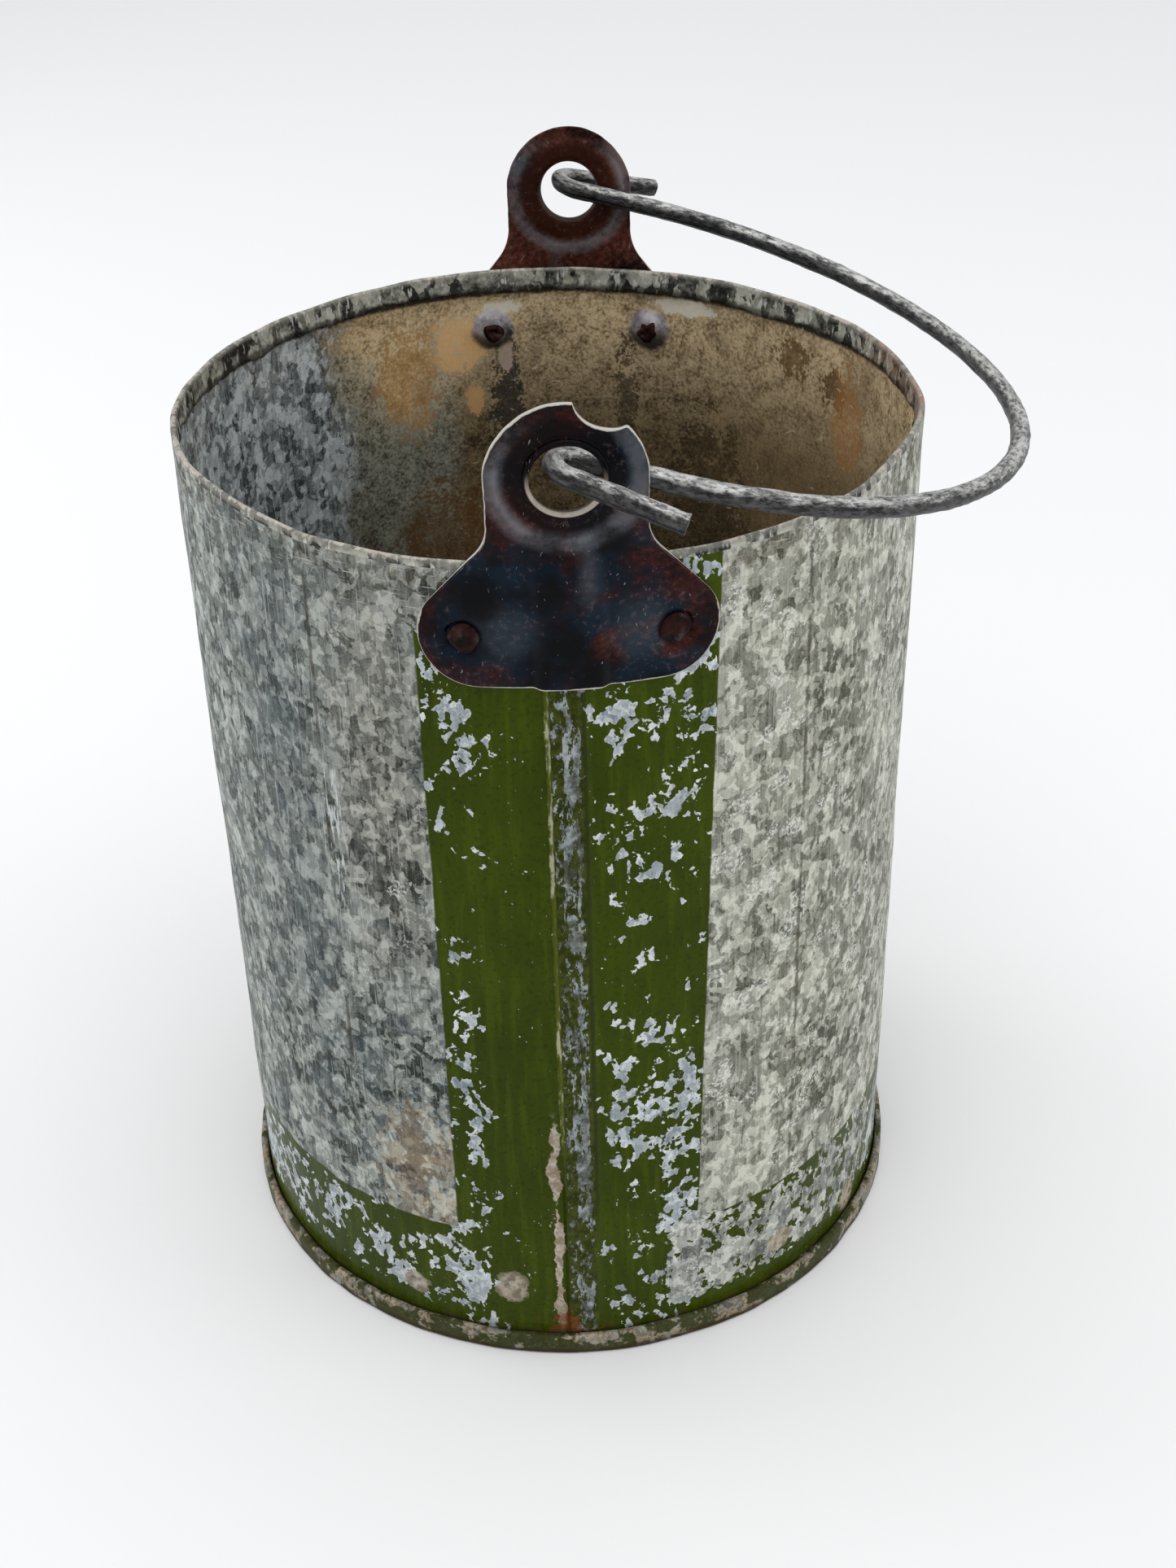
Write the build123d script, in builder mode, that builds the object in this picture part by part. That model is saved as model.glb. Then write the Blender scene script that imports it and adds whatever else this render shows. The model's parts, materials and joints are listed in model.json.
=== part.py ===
from build123d import *
import os
from math import cos, degrees, radians, sin, tan

# A small galvanised milk pail: a straight-sided sheet-steel body with a double-seamed
# bottom, two stamped ears riveted outside the rim, and a wire bail hooked through them.
# Millimetres. The origin is the centre of the foot, +Z is up and the lock seam is at the
# front, towards -Y. The two ears face -Y and +Y, and the bail leans towards +X.

# ---- driving dimensions -------------------------------------------------------------

# sheet-steel body
body_radius = 98.0       # outside of the side sheet
rim_height = 254.0       # foot to rim, ten inches
sheet = 0.5              # about 26 gauge
hem_height = 6.3         # the rim is folded inward into an open hem this tall
hem_gap = 0.5            # air between the two layers of the hem
seam_angle = 3.0         # lock seam, degrees round from -Y towards +X
seam_width = 10.3
seam_layers = 3          # folded layers that stand outside the side sheet
seam_edge_radius = 0.6
seam_clearance = 0.3     # from the foot's double seam
seam_top_drop = 1.0      # the lock seam ends this far below the hem

# double seam round the foot
foot_radius = 100.75     # outside of the seam
foot_height = 7.0
disc_height = 8.0        # how far the bottom disc is recessed above the ground
disc_corner_radius = 2.0
pan_foot_radius = 0.75   # the pan's two bends at the ground
layer_gap = 0.1          # loose fit between the two sheets of the seam
hook_floor = 1.1         # the body's hook turns this far above the ground
pan_fold_clearance = 1.2  # and the pan's inner fold stops this far above that
fold_fit = 0.49          # a fold's corner radius, as a share of the layers it joins

# stamped ears
ear_skew = 3.5           # both ears sit this many degrees off the diameter, towards +X
ear_sheet = 1.5
ear_gap = 0.1            # between an ear and the side sheet
ear_drop = 31.8          # the ear's base reaches this far below the rim
ear_half_width = 35.0
shoulder_drop = 13.2     # the sloping shoulder meets the full width this far below the rim
shoulder_rise = 6.0      # and meets the straight neck this far above the rim
base_corner_radius = 13.4
neck_fillet = 12.0
head_radius = 18.3
hole_height = 22.0       # hole centre above the rim
hole_radius = 8.25
ear_lean = 5.0           # degrees, outward
bend_rise = 1.0          # the ear's lean starts this far above the rim
flat_rise = 10.0         # and the ear is flat from this height up
dish_radius = 16.0       # the plate is dished inward inside this radius
dish_slope_start = 0.7   # its sloping side starts and ends this far inside that radius
dish_slope_end = 2.8
dish_corner_radius = 0.8
dish_depth = 0.5
lip_rise = 0.3           # the hole's lip turns outward, proud of the ear's face
lip_corner_radius = 1.1
channel_half_width = 6.2  # raised channel down the ear's base, which clears the lock seam
channel_clearance = 0.2  # between the lock seam and the channel
notch_radius = 8.4       # bite out of the front ear's head
notch_x = 10.0           # its centre, from the centre of the hole
notch_z = 19.8

# rivets
rivet_spread = 24.4      # along the rim, from the middle of the ear
rivet_drop = 19.0        # below the rim
shank_radius = 1.6
head_flange_radius = 3.7
head_edge = 0.5
head_rise = 1.3
tail_radius = 2.5
tail_rise = 1.0
tail_corner_radius = 0.6
rivet_clearance = 0.02
tail_clearance = 0.06

# wire bail
wire_radius = 2.5
bow_radius = 95.4        # the bail is half a hoop with short straight legs
bow_centre = 29.3        # from the hinge line to the centre of the hoop
leg_splay = 2.0          # degrees
hook_radius = 5.6        # hairpin hook, to the middle of the wire
tail_splay = 20.5        # the cut tail outside the ear, degrees off the bail's middle
tail_length = 27.5
bail_tilt = -15.5        # rest position, degrees from level, towards +X
hinge_x = -2.6           # where the wire bears in the holes, from the hole's centre
hinge_z = 3.1

# extra length on rough blanks and drills, which later cuts and open air take up
blank_margin = 1.0
drill_reach = 3.0

# ---- worked out from the driving dimensions -----------------------------------------

inner_radius = body_radius - sheet
wall_middle = body_radius - sheet / 2
hem_middle = wall_middle - sheet - hem_gap
seam_thickness = seam_layers * sheet
ear_inner = body_radius + ear_gap
ear_outer = ear_inner + ear_sheet
channel_depth = seam_thickness + channel_clearance
front_angle = ear_skew   # where each ear sits, degrees round from -Y
rear_angle = 180 - ear_skew
rivet_angle = degrees(rivet_spread / body_radius)


def upright_plane(angle):
    """The rim's level, turned so that its -Y side is `angle` degrees round from -Y."""
    turn = radians(angle)
    return Plane(origin=(0, 0, rim_height), x_dir=(cos(turn), sin(turn), 0), z_dir=(0, 0, 1))


def outward_plane(side, height=0.0):
    """Upright plane through the body's axis, facing out of `side`, its x to the right."""
    return Plane(origin=side.offset(height).origin, x_dir=side.x_dir, z_dir=-side.y_dir)


def arc_strip(plane, inner, outer, half_width):
    """Sketch of a strip of the ring between two radii, centred on the plane's -Y side."""
    half_angle = degrees(half_width / inner)
    with BuildSketch(plane) as strip:
        with BuildLine():
            inside = CenterArc((0, 0), inner, -90 - half_angle, 2 * half_angle)
            outside = CenterArc((0, 0), outer, -90 - half_angle, 2 * half_angle)
            Line(inside @ 0, outside @ 0)
            Line(inside @ 1, outside @ 1)
        make_face()
    return strip.sketch


# ---- body shell: side sheet, open hem at the rim, hook at the foot, lock seam --------

# The seam's layers from the side sheet outward: the pan's inner fold, the body's hook and
# the pan's outer wall, evenly spread.
layer_pitch = (foot_radius - sheet / 2 - wall_middle) / 3
pan_fold_middle = wall_middle + layer_pitch
hook_middle = wall_middle + 2 * layer_pitch
pan_wall_middle = wall_middle + 3 * layer_pitch
hook_top = foot_height - 3 * sheet
hem_fold_radius = fold_fit * (sheet + hem_gap)
foot_fold_radius = fold_fit * 2 * layer_pitch

with BuildPart() as body_shell:
    with BuildSketch(Plane.XZ):
        with BuildLine():
            FilletPolyline(
                (hem_middle, rim_height - hem_height),
                (hem_middle, rim_height - sheet / 2),
                (wall_middle, rim_height - sheet / 2),
                (wall_middle, hook_floor),
                (hook_middle, hook_floor),
                (hook_middle, hook_top),
                radius=[hem_fold_radius] * 2 + [foot_fold_radius] * 2,
            )
        trace(line_width=sheet)
    revolve(axis=Axis.Z)
    # The lock seam is hammered flat and filled with zinc, so its layers are one ridge,
    # cut back at both ends where the hem and the double seam are folded.
    seam_low = foot_height + seam_clearance
    seam_high = rim_height - hem_height - seam_top_drop
    seam_foot = upright_plane(seam_angle).offset(seam_low - rim_height)
    seam_strip = arc_strip(seam_foot, wall_middle, body_radius + seam_thickness, seam_width / 2)
    extrude(seam_strip, amount=seam_high - seam_low)
    seam_edges = body_shell.edges().filter_by(GeomType.LINE).filter_by(Axis.Z)
    fillet(seam_edges.sort_by(lambda edge: edge.center().Y)[0:2], seam_edge_radius)
    # Rivet holes, two under each ear.
    for angle in (front_angle, rear_angle):
        for turn in (-1, 1):
            rivet_side = upright_plane(angle + turn * rivet_angle)
            rivet_centre = outward_plane(rivet_side, -rivet_drop).offset(inner_radius)
            with BuildSketch(rivet_centre):
                Circle(shank_radius + rivet_clearance)
            extrude(amount=drill_reach, both=True, mode=Mode.SUBTRACT)

# ---- bottom pan: recessed disc whose edge wraps the body's hook ----------------------

countersink_middle = inner_radius - layer_gap - sheet / 2
pan_floor = sheet / 2
pan_top = foot_height - sheet / 2
pan_fold_end = hook_floor + pan_fold_clearance

with BuildPart() as bottom_pan:
    with BuildSketch(Plane.XZ):
        with BuildLine():
            FilletPolyline(
                (0, disc_height),
                (countersink_middle, disc_height),
                (countersink_middle, pan_floor),
                (pan_wall_middle, pan_floor),
                (pan_wall_middle, pan_top),
                (pan_fold_middle, pan_top),
                (pan_fold_middle, pan_fold_end),
                radius=[disc_corner_radius] + [pan_foot_radius] * 2 + [foot_fold_radius] * 2,
            )
        trace(line_width=sheet)
    revolve(axis=Axis.Z)

# ---- ears ----------------------------------------------------------------------------


def flat_strip(side, height):
    """Cross-section of the leaning, flat part of the ear at a height above the rim."""
    lean = tan(radians(ear_lean)) * (height - bend_rise)
    with BuildSketch(side.offset(height)) as strip:
        with Locations((0, -(ear_inner + ear_sheet / 2 + lean))):
            Rectangle(2 * ear_half_width, ear_sheet)
    return strip.sketch


def make_ear(angle, notched):
    """One stamped ear, wrapped round the body below the rim and flat above it."""
    side = upright_plane(angle)
    front = outward_plane(side)
    lean = radians(ear_lean)
    up_the_head = front.y_dir * cos(lean) + front.z_dir * sin(lean)
    bend_point = front.offset(ear_inner + ear_sheet / 2).origin + front.y_dir * bend_rise
    hole_centre = bend_point + up_the_head * ((hole_height - bend_rise) / cos(lean))
    head_normal = side.x_dir.cross(up_the_head)
    head_plane = Plane(origin=hole_centre, x_dir=side.x_dir, z_dir=head_normal)
    hole_section = Plane(origin=hole_centre, x_dir=side.x_dir, z_dir=-up_the_head)
    with BuildPart() as ear:
        # The curved base with its channel, the neck that flattens, and the flat head.
        base_foot = side.offset(-ear_drop - blank_margin)
        base_height = ear_drop + blank_margin + bend_rise
        base_half = ear_half_width + blank_margin
        extrude(arc_strip(base_foot, ear_inner, ear_outer, base_half), amount=base_height)
        channel_outer = ear_outer + channel_depth
        channel_half = channel_half_width + ear_sheet
        extrude(arc_strip(base_foot, ear_inner, channel_outer, channel_half), amount=base_height)
        bend_strip = arc_strip(side.offset(bend_rise), ear_inner, ear_outer, ear_half_width)
        neck_strip = flat_strip(side, flat_rise)
        top_strip = flat_strip(side, hole_height + head_radius + blank_margin)
        loft(sections=[bend_strip, neck_strip, top_strip], ruled=True)
        recess_inner = ear_inner - blank_margin
        recess_outer = ear_inner + channel_depth
        recess = arc_strip(base_foot, recess_inner, recess_outer, channel_half_width)
        extrude(recess, amount=ear_drop + blank_margin - hem_height, mode=Mode.SUBTRACT)
        # The dished eye, whose edge turns outward as a lip.
        with BuildSketch(head_plane):
            Circle(dish_radius)
        extrude(amount=2 * ear_sheet, both=True, mode=Mode.SUBTRACT)
        with BuildSketch(hole_section):
            with BuildLine():
                lip_middle = hole_radius + ear_sheet / 2
                FilletPolyline(
                    (dish_radius, 0),
                    (dish_radius - dish_slope_start, 0),
                    (dish_radius - dish_slope_end, -dish_depth),
                    (lip_middle, -dish_depth),
                    (lip_middle, ear_sheet / 2 + lip_rise),
                    radius=[dish_corner_radius, dish_corner_radius, lip_corner_radius],
                )
            trace(line_width=ear_sheet)
        revolve(axis=Axis(hole_centre, head_normal))
        # The outline, as cut from flat sheet.
        with BuildSketch(front):
            with BuildLine():
                right_side = FilletPolyline(
                    (head_radius, hole_height),
                    (head_radius, shoulder_rise),
                    (ear_half_width, -shoulder_drop),
                    (ear_half_width, -ear_drop),
                    (0, -ear_drop),
                    radius=[neck_fillet, base_corner_radius, base_corner_radius],
                )
                mirror(right_side, about=Plane.YZ)
                CenterArc((0, hole_height), head_radius, 0, 180)
            make_face()
        extrude(amount=2 * body_radius, mode=Mode.INTERSECT)
        if notched:
            with BuildSketch(head_plane):
                with Locations((notch_x, notch_z)):
                    Circle(notch_radius)
            extrude(amount=3 * ear_sheet, both=True, mode=Mode.SUBTRACT)
        for turn in (-1, 1):
            rivet_side = upright_plane(angle + turn * rivet_angle)
            with BuildSketch(outward_plane(rivet_side, -rivet_drop).offset(ear_inner)):
                Circle(shank_radius + rivet_clearance)
            extrude(amount=drill_reach, both=True, mode=Mode.SUBTRACT)
    return ear.part


front_ear = make_ear(front_angle, notched=True)
rear_ear = make_ear(rear_angle, notched=False)

# ---- rivets --------------------------------------------------------------------------


def make_rivet(angle):
    """Low round head outside the ear, shank through ear and sheet, peened tail inside."""
    axis_plane = outward_plane(upright_plane(angle), -rivet_drop)
    section = Plane(origin=axis_plane.origin, x_dir=axis_plane.x_dir, z_dir=-axis_plane.y_dir)
    tail_face = inner_radius - tail_clearance
    head_face = ear_outer + rivet_clearance
    crown = head_rise - head_edge
    crown_radius = (head_flange_radius**2 + crown**2) / (2 * crown)
    with BuildPart() as rivet:
        with BuildSketch(section):
            with BuildLine():
                side_line = FilletPolyline(
                    (0, tail_face - tail_rise),
                    (tail_radius, tail_face - tail_rise),
                    (tail_radius, tail_face),
                    (shank_radius, tail_face),
                    (shank_radius, head_face),
                    (head_flange_radius, head_face),
                    (head_flange_radius, head_face + head_edge),
                    radius=[tail_corner_radius, 0, 0, 0, 0],
                )
                crown_arc = RadiusArc(
                    side_line @ 1, (0, head_face + head_rise), -crown_radius
                )
                Line(crown_arc @ 1, side_line @ 0)
            make_face()
        revolve(axis=Axis(axis_plane.origin, axis_plane.z_dir))
    return rivet.part


rivets = {}
for ear_name, angle in (("front", front_angle), ("rear", rear_angle)):
    for hand, turn in (("left", -1), ("right", 1)):
        rivets[f"{ear_name}_rivet_{hand}"] = make_rivet(angle + turn * rivet_angle)

# ---- bail ----------------------------------------------------------------------------

# The hinge line runs through both holes, parallel to Y.
hole_reach = ear_inner + ear_sheet / 2 + tan(radians(ear_lean)) * (hole_height - bend_rise)
hinge_point = (
    hole_reach * sin(radians(ear_skew)) + hinge_x,
    0,
    rim_height + hole_height + hinge_z,
)
tilt = radians(bail_tilt)
bail_plane = Plane(
    origin=hinge_point, x_dir=(cos(tilt), 0, sin(tilt)), z_dir=(-sin(tilt), 0, cos(tilt))
)
splay = radians(leg_splay)
leg_start = bow_centre - bow_radius * sin(splay)
leg_end = hook_radius * (1 + sin(splay))
leg_length = (leg_start - leg_end) / cos(splay)

with BuildPart() as bail:
    with BuildLine(bail_plane) as wire_path:
        bow = CenterArc((bow_centre, 0), bow_radius, -90 - leg_splay, 180 + 2 * leg_splay)
        for end, heading, turn in ((0, 180 - leg_splay, 1), (1, 180 + leg_splay, -1)):
            leg = PolarLine(bow @ end, leg_length, heading)
            hook_turn = 180 + leg_splay - tail_splay
            hook = JernArc(leg @ 1, leg % 1, hook_radius, turn * hook_turn)
            PolarLine(hook @ 1, tail_length, direction=hook % 1)
    whole_wire = wire_path.wires()[0]
    with BuildSketch(Plane(origin=whole_wire @ 0, z_dir=whole_wire % 0)):
        Circle(wire_radius)
    sweep(path=whole_wire)

# ---- write one file per piece ---------------------------------------------------------

os.makedirs("parts", exist_ok=True)
pieces = {
    "body_shell": body_shell.part,
    "bottom_pan": bottom_pan.part,
    "front_ear": front_ear,
    "rear_ear": rear_ear,
    "bail": bail.part,
    **rivets,
}
for name, piece in pieces.items():
    piece.label = name
    export_step(piece, f"parts/{name}.step")
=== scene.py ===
import json
from math import acos, asin, cos, pi, radians, sin, sqrt, tan, tau

import bmesh
import bpy
import numpy as np
from mathutils import Matrix, Vector
from mathutils.kdtree import KDTree


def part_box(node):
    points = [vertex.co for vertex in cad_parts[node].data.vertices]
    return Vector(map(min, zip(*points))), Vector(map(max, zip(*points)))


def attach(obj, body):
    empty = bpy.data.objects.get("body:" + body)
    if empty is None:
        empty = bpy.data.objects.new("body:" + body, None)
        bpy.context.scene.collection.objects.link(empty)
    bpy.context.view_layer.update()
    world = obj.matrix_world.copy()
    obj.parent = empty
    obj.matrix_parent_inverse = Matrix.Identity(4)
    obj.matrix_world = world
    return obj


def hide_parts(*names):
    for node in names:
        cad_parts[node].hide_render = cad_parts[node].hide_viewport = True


# An old galvanised milk pail. Every visible piece is modelled again here in sheet metal and
# wire, with the dents, ragged folds and worn surfaces that the plain CAD pieces leave out.
# Sizes are in millimetres and are turned into metres when a mesh is made. Angles round the
# pail are measured from the front, -Y, towards +X.

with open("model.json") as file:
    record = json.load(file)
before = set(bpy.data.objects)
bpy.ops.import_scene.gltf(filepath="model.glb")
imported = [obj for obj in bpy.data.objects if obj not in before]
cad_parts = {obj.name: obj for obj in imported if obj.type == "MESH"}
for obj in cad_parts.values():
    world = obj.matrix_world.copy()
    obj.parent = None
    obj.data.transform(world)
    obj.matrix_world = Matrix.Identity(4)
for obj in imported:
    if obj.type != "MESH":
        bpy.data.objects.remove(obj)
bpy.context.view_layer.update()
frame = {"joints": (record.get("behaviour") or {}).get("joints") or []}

MM = 0.001

# ---- sizes ----

rim_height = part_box("body_shell")[1].z / MM
foot_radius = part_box("bottom_pan")[1].x / MM
hinge = np.array(frame["joints"][0]["pos_m"]) / MM

sheet = 0.5
fold_radius = 0.49       # the rim's folds, at the sheet's middle
foot_bend = 0.85         # the bends in the foot's double seam
body_radius = foot_radius - 2.75
wall_middle = body_radius - sheet / 2
hem_height = 6.3
hem_gap = 0.5

foot_height = 7.0        # double seam round the foot
disc_height = 8.0        # the bottom disc is recessed this far
layer_pitch = (foot_radius - sheet / 2 - wall_middle) / 3

seam_middle = radians(3.0) * body_radius    # lock seam, millimetres round from the front
seam_half = 5.15
seam_top = rim_height - hem_height - 1.0

ear_angles = {"front": radians(3.5), "rear": radians(176.5)}
ear_thickness = 1.5
ear_middle = body_radius + 0.1 + ear_thickness / 2
ear_lean = radians(5)
bend_rise = 1.0          # the ear leaves the wall's curve here, above the rim
flat_rise = 10.0         # and is flat from here
hole_rise = 22.0
hole_radius = 8.25
head_radius = 18.3
neck_drop = 16.0         # from the hole down to where the neck starts to widen
neck_radius = 12.0
wing_x, wing_top, wing_bottom, wing_radius = 35.0, -35.2, -53.8, 13.4
notch_radius, notch_x, notch_z = 8.4, 10.0, 19.8    # the bite out of the front ear's head
rivet_angle = 24.4 / body_radius
rivet_drop = 19.0
rivet_level = rim_height - rivet_drop
rivet_directions = [ear + side * rivet_angle for ear in ear_angles.values() for side in (-1, 1)]
dome_radius = 6.8        # the side sheet is pressed inward round each rivet
dome_depth = 2.5
pocket_depth = 0.9       # and so is the ear, under the rivet's head
pocket_side = 4.1, 5.0   # the pocket's slope, out from the rivet's axis
dish_depth = 0.9         # the eye of each ear is dished inward
eye_reach = 10.9         # the dish's flat floor, out from the hole's centre
dish_side = 12.6, 17.0   # the dish's slope, out from the hole's centre
channel_rise = 1.7       # a raised channel down the ear's middle clears the lock seam
channel_side = 6.2, 9.2  # the channel's slope, out from the ear's middle
lip_end_out = 1.05       # the hole's edge is turned out this far

wire_radius = 2.5
bow_radius = 95.4
bow_centre = 29.3
leg_splay = radians(2)
hook_radius = 5.6
tail_splay = radians(20.5)
tail_length = 27.5
bail_tilt = radians(-15.5)


# ---- making meshes ----


def smooth(value, low=0.0, high=1.0):
    """0 at low, 1 at high and an S-curve between."""
    share = np.clip((value - low) / (high - low), 0, 1)
    return share * share * (3 - 2 * share)


def spread(low, high, density, count):
    """Places from low up to high, closer together where the density is high."""
    fine = np.linspace(low, high, 20001)
    share = np.concatenate([[0], np.cumsum(density(fine)[:-1])])
    return np.interp(np.arange(count) / count, share / share[-1], fine)


def waves(angle, height, size, seed, count=32):
    """Smooth random lumps about `size` mm across, mostly from -1 to 1, closed round the pail."""
    draw = np.random.default_rng(seed)
    total = np.zeros(np.broadcast(angle, height).shape)
    for _ in range(count):
        heading, reach, start = draw.uniform(0, tau), draw.uniform(0.4, 1), draw.uniform(0, tau)
        turns = round(tau * body_radius * reach * cos(heading) / size)
        total += np.cos(turns * angle + tau * reach * sin(heading) / size * height + start)
    return total / sqrt(2 * count) * 1.2


def rounded_line(corners, radii, steps, arc_steps=5):
    """Points along straight runs joined by arcs, with run k cut into steps[k] pieces.
    A radius of 0 leaves its corner sharp."""
    corners = [np.array(corner, float) for corner in corners]
    points, start = [], corners[0]
    for k in range(1, len(corners)):
        corner = corners[k]
        radius = radii[k - 1] if k < len(corners) - 1 else 0
        arc_start = corner
        if radius:
            back = (corners[k - 1] - corner) / np.linalg.norm(corners[k - 1] - corner)
            ahead = (corners[k + 1] - corner) / np.linalg.norm(corners[k + 1] - corner)
            half = acos(np.clip(back @ ahead, -1, 1)) / 2
            reach = radius / tan(half)
            arc_start = corner + back * reach
        points += [start + (arc_start - start) * s / steps[k - 1] for s in range(steps[k - 1])]
        start = corner
        if not radius:
            continue
        centre = corner + (back + ahead) / np.linalg.norm(back + ahead) * radius / sin(half)
        start = corner + ahead * reach
        sweep = pi - 2 * half
        for s in range(arc_steps):
            share = s / arc_steps
            out = (arc_start - centre) * sin((1 - share) * sweep)
            points.append(centre + (out + (start - centre) * sin(share * sweep)) / sin(sweep))
    return np.array(points + [corners[-1]])


def headings(line):
    """The direction of a line at each of its points."""
    along = np.gradient(line, axis=0)
    return along / np.linalg.norm(along, axis=1)[:, None]


def sheet_sides(line, thickness):
    """The two sides and the two rounded ends of a sheet whose middle follows a line."""
    along = headings(line)
    across = np.stack([-along[:, 1], along[:, 0]], axis=1) * thickness / 2
    end_reach = 0.35 * thickness
    return line + across, line - across, line[0] - along[0] * end_reach, line[-1] + along[-1] * end_reach


def in_scene(name, data):
    made = bpy.data.objects.new(name, data)
    bpy.context.scene.collection.objects.link(made)
    return made


def grid_piece(name, points, looks, look_of_row=None, closed_rows=True, notes=None):
    """A piece from points in columns that close round and rows that run along each column.
    Its notes are a number or a vector at each point, for its material."""
    columns, rows = points.shape[:2]
    here = np.arange(columns * rows).reshape(columns, rows)
    ahead = np.roll(here, -1, axis=0)
    quads = np.stack([here, ahead, np.roll(ahead, -1, axis=1), np.roll(here, -1, axis=1)], axis=-1)
    if not closed_rows:
        quads = quads[:, :-1]
    mesh = bpy.data.meshes.new(name)
    mesh.from_pydata((points.reshape(-1, 3) * MM).tolist(), [], quads.reshape(-1, 4).tolist())
    for look in looks:
        mesh.materials.append(look)
    if look_of_row is not None:
        mesh.polygons.foreach_set("material_index", np.tile(look_of_row, columns).astype(np.int32))
    mesh.shade_smooth()
    for title, values in (notes or {}).items():
        kind, field = ("FLOAT", "value") if values.ndim == 1 else ("FLOAT_VECTOR", "vector")
        attribute = mesh.attributes.new(title, kind, "POINT")
        attribute.data.foreach_set(field, values.astype(np.float32).ravel())
    # join the points that lie on each other at a pole, and turn every face outward
    solid = bmesh.new()
    solid.from_mesh(mesh)
    bmesh.ops.remove_doubles(solid, verts=solid.verts, dist=1e-6)
    bmesh.ops.recalc_face_normals(solid, faces=solid.faces)
    solid.to_mesh(mesh)
    solid.free()
    return in_scene(name, mesh)


def placed(right, out, up, angle):
    """Points right of a direction round the pail, out from the pail's axis and up from the floor."""
    x = right * np.cos(angle) + out * np.sin(angle)
    y = right * np.sin(angle) - out * np.cos(angle)
    return np.stack(np.broadcast_arrays(x, y, up), axis=-1)


def between(angle, other):
    """The signed angle from one direction round the pail to another, the short way."""
    return (angle - other + pi) % tau - pi


# ---- how the sheet metal is bent and dented ----

# (direction in degrees, half width in degrees, millimetres outward) at the rim
rim_bends = [(133, 19, -2.3), (-50, 15, -1.6), (64, 9, -1.2), (84, 7, 0.5), (100, 9, -0.6), (-80, 12, 0.3)]
fold_creases = [-61.0, 69.0]     # faint upright kinks, millimetres round from the front


def near_ears(angle, height):
    """1 where an ear covers the side sheet and 0 away from it."""
    covered = sum(np.exp(-((between(angle, ear) * body_radius / 34) ** 4)) for ear in ear_angles.values())
    return covered * smooth(height, rim_height - 55, rim_height - 35)


def dents(angle, height):
    """How far outward the side sheet stands from a true cylinder."""
    depth = np.maximum(rim_height - height, 0)
    total = 0
    for direction, half_width, bend in rim_bends:
        away = between(angle, radians(direction)) / radians(half_width)
        total = total + bend * np.exp(-(away**2)) * np.exp(-((depth / 105) ** 1.3))
    lumps = 0.16 * waves(angle, height, 50, 1) + 0.1 * waves(angle, height, 15, 2)
    held = 1 - np.clip(near_ears(angle, height), 0, 1)
    total = total + lumps * held * smooth(height, foot_height, foot_height + 25)
    for crease in fold_creases:
        away = between(angle, crease / body_radius) * body_radius
        total = total + 0.22 * np.exp(-np.abs(away) / 1.6) * smooth(height, 40, 70)
    return total


def rivet_domes(angle, height):
    """How far inward the side sheet is pressed round the four rivets."""
    total = 0
    for rivet in rivet_directions:
        distance = np.hypot(between(angle, rivet) * body_radius, height - rivet_level)
        total = total + dome_depth * (1 - smooth(distance, 2.2, dome_radius))
    return total


def lock_seam(angle, height):
    """How far the lock seam stands out of the side sheet: a crisp left edge and a soft right one."""
    across = between(angle, 0) * body_radius - seam_middle
    edge = [-6.0, -5.5, -5.32, -5.1, -4.85, -4.3, -2.5, 2.0, 3.1, 4.1, 5.2]
    rise = [0.0, -0.22, -0.28, 0.75, 1.3, 1.5, 1.42, 1.46, 1.2, 0.42, 0.0]
    ends = smooth(height, foot_height + 0.2, foot_height + 2) * (1 - smooth(height, seam_top - 2, seam_top))
    hammered = 1 + 0.06 * waves(angle, height, 14, 3)
    return np.interp(across, edge, rise) * ends * hammered


# ---- body shell ----


def shell_columns():
    """Directions round the pail, closest together at the lock seam and the rivets."""
    count = 620

    def density(angle):
        across = between(angle, 0) * body_radius - seam_middle
        total = 1 + 2.5 * np.exp(-((across / 6.5) ** 8)) + 9 * np.exp(-(((across + 5.1) / 0.9) ** 4))
        for rivet in rivet_directions:
            total = total + 1.3 * np.exp(-((between(angle, rivet) * body_radius / 7.5) ** 8))
        return total

    return spread(-pi, pi, density, count)


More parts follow.
